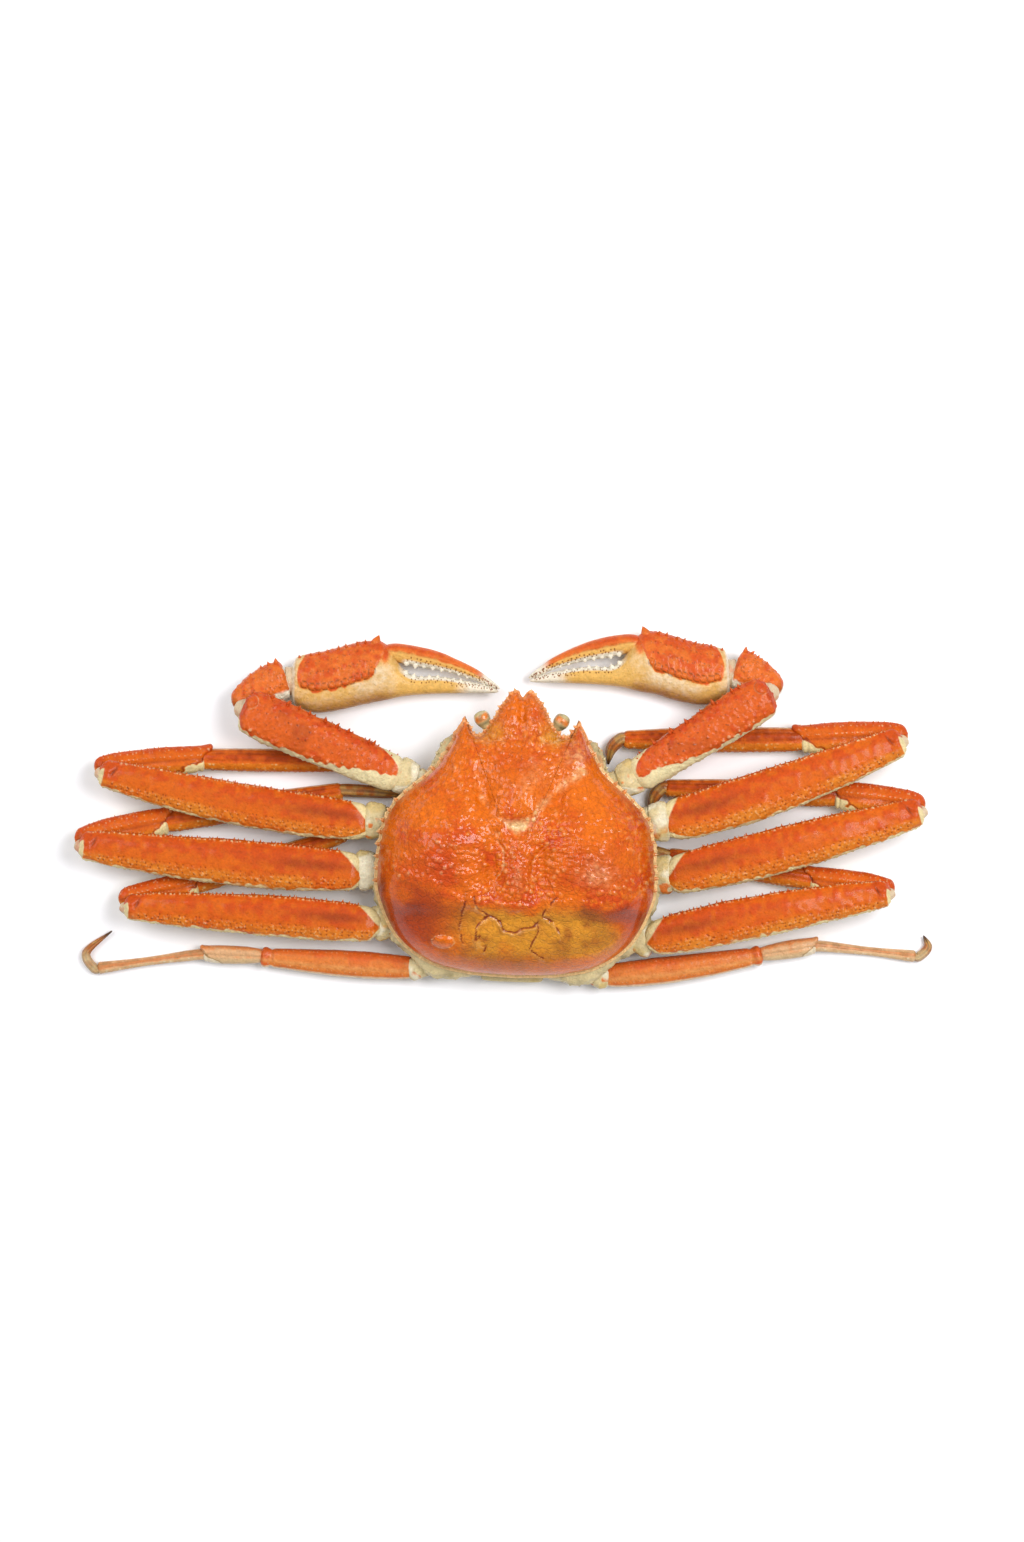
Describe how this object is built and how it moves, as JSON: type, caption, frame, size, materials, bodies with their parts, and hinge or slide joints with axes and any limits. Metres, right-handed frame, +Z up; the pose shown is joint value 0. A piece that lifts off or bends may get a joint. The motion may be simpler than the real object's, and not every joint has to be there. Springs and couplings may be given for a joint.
{
  "type": "cooked crab",
  "caption": "Whole cooked snow crab lying on its belly, long legs folded under themselves and claws turned in before the shell.",
  "frame": {"origin": "on the flat underside of the folded tail flap, under the middle of the carapace", "axes": "+X towards the crab's right across the legs, +Y to its front, +Z up"},
  "size_m": [0.3747, 0.1585, 0.051],
  "materials": {
    "shell": "wet cooked shell, orange with an amber rear",
    "leg_shell": "wet cooked shell, orange with a pale rear edge",
    "claw_shell": "wet cooked shell, orange above and cream below",
    "pale_shell": "wet pale shell of the underside",
    "claw_tip": "horny amber and brown",
    "eye": "dull gloss, as after cooking"
  },
  "bodies": {
    "root": {"carapace": "shell", "thorax": "pale_shell", "abdomen": "pale_shell", "eye_left": "eye", "eye_right": "eye", "mouthpart_left": "pale_shell", "mouthpart_right": "pale_shell", "left_claw_ischium": "pale_shell", "left_claw_merus": "claw_shell", "left_claw_carpus": "claw_shell", "left_claw_palm": "claw_shell", "left_claw_finger": "claw_shell", "right_claw_ischium": "pale_shell", "right_claw_merus": "claw_shell", "right_claw_carpus": "claw_shell", "right_claw_palm": "claw_shell", "right_claw_finger": "claw_shell", "left_leg_1_ischium": "pale_shell", "left_leg_1_merus": "leg_shell", "left_leg_1_carpus": "leg_shell", "left_leg_1_propodus": "leg_shell", "left_leg_1_dactyl": "claw_tip", "left_leg_2_ischium": "pale_shell", "left_leg_2_merus": "leg_shell", "left_leg_2_carpus": "leg_shell", "left_leg_2_propodus": "leg_shell", "left_leg_2_dactyl": "claw_tip", "left_leg_3_ischium": "pale_shell", "left_leg_3_merus": "leg_shell", "left_leg_3_carpus": "leg_shell", "left_leg_3_propodus": "leg_shell", "left_leg_3_dactyl": "claw_tip", "left_leg_4_ischium": "pale_shell", "left_leg_4_merus": "leg_shell", "left_leg_4_carpus": "leg_shell", "left_leg_4_propodus": "leg_shell", "left_leg_4_dactyl": "claw_tip", "right_leg_1_ischium": "pale_shell", "right_leg_1_merus": "leg_shell", "right_leg_1_carpus": "leg_shell", "right_leg_1_propodus": "leg_shell", "right_leg_1_dactyl": "claw_tip", "right_leg_2_ischium": "pale_shell", "right_leg_2_merus": "leg_shell", "right_leg_2_carpus": "leg_shell", "right_leg_2_propodus": "leg_shell", "right_leg_2_dactyl": "claw_tip", "right_leg_3_ischium": "pale_shell", "right_leg_3_merus": "leg_shell", "right_leg_3_carpus": "leg_shell", "right_leg_3_propodus": "leg_shell", "right_leg_3_dactyl": "claw_tip", "right_leg_4_ischium": "pale_shell", "right_leg_4_merus": "leg_shell", "right_leg_4_carpus": "leg_shell", "right_leg_4_propodus": "leg_shell", "right_leg_4_dactyl": "claw_tip"}
  },
  "joints": []
}
